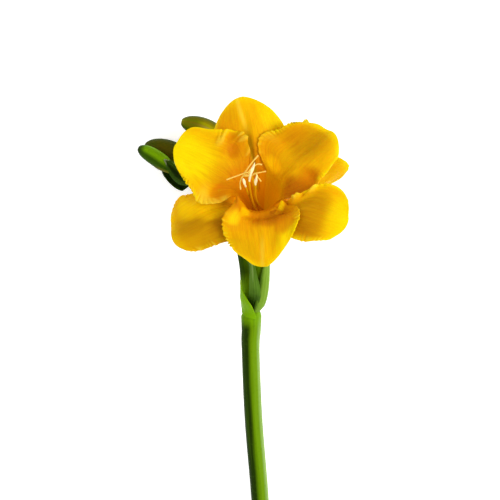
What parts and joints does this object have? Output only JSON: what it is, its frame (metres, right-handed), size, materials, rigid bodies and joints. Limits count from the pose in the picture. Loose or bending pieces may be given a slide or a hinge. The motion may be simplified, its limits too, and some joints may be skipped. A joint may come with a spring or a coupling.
{
  "type": "freesia flower",
  "caption": "Cut freesia lying down: a green stem with an open funnel-shaped yellow bloom, a half-open bloom behind it and a row of buds, each in small green bracts.",
  "frame": {"origin": "middle of the bottom of the flower's box, on the surface that it lies on", "axes": "+Z up from that surface, +Y along the stem from its cut end towards the blooms, +X to the right as seen from above with +Y up"},
  "size_m": [0.0711, 0.1611, 0.0524],
  "materials": {
    "stem_green": "smooth waxy green skin, dark on one side and yellow-green on the other",
    "bract_green": "smooth waxy green leaf with lengthways veins",
    "ovary_green": "matt green",
    "tepal_yellow": "satin golden-yellow petal with fine veins, orange towards the throat",
    "stamen_cream": "matt cream",
    "style_yellow": "matt pale yellow",
    "bud_yellow_green": "smooth waxy yellow-green",
    "bud_olive": "smooth waxy olive green",
    "bud_green": "smooth waxy green"
  },
  "bodies": {
    "root": {"stem": "stem_green", "sheath_bract": "bract_green", "bloom_1_bract_right": "bract_green", "bloom_1_bract_left": "bract_green", "bloom_1_ovary": "ovary_green", "bloom_1_perianth": "tepal_yellow", "bloom_1_stamen_1": "stamen_cream", "bloom_1_stamen_2": "stamen_cream", "bloom_1_stamen_3": "stamen_cream", "bloom_1_style": "style_yellow", "bloom_2_bract_upper": "bract_green", "bloom_2_bract_lower": "bract_green", "bloom_2_ovary": "ovary_green", "bloom_2_perianth": "tepal_yellow", "bloom_2_stamen_1": "stamen_cream", "bloom_2_stamen_2": "stamen_cream", "bloom_2_stamen_3": "stamen_cream", "bloom_2_style": "style_yellow", "bud_3": "bud_yellow_green", "bud_3_ovary": "ovary_green", "bud_3_bract_upper": "bract_green", "bud_3_bract_lower": "bract_green", "bud_4": "bud_olive", "bud_4_ovary": "ovary_green", "bud_4_bract_upper": "bract_green", "bud_4_bract_lower": "bract_green", "bud_5": "bud_green", "bud_5_ovary": "ovary_green", "bud_5_bract_upper": "bract_green", "bud_5_bract_lower": "bract_green"}
  },
  "joints": []
}
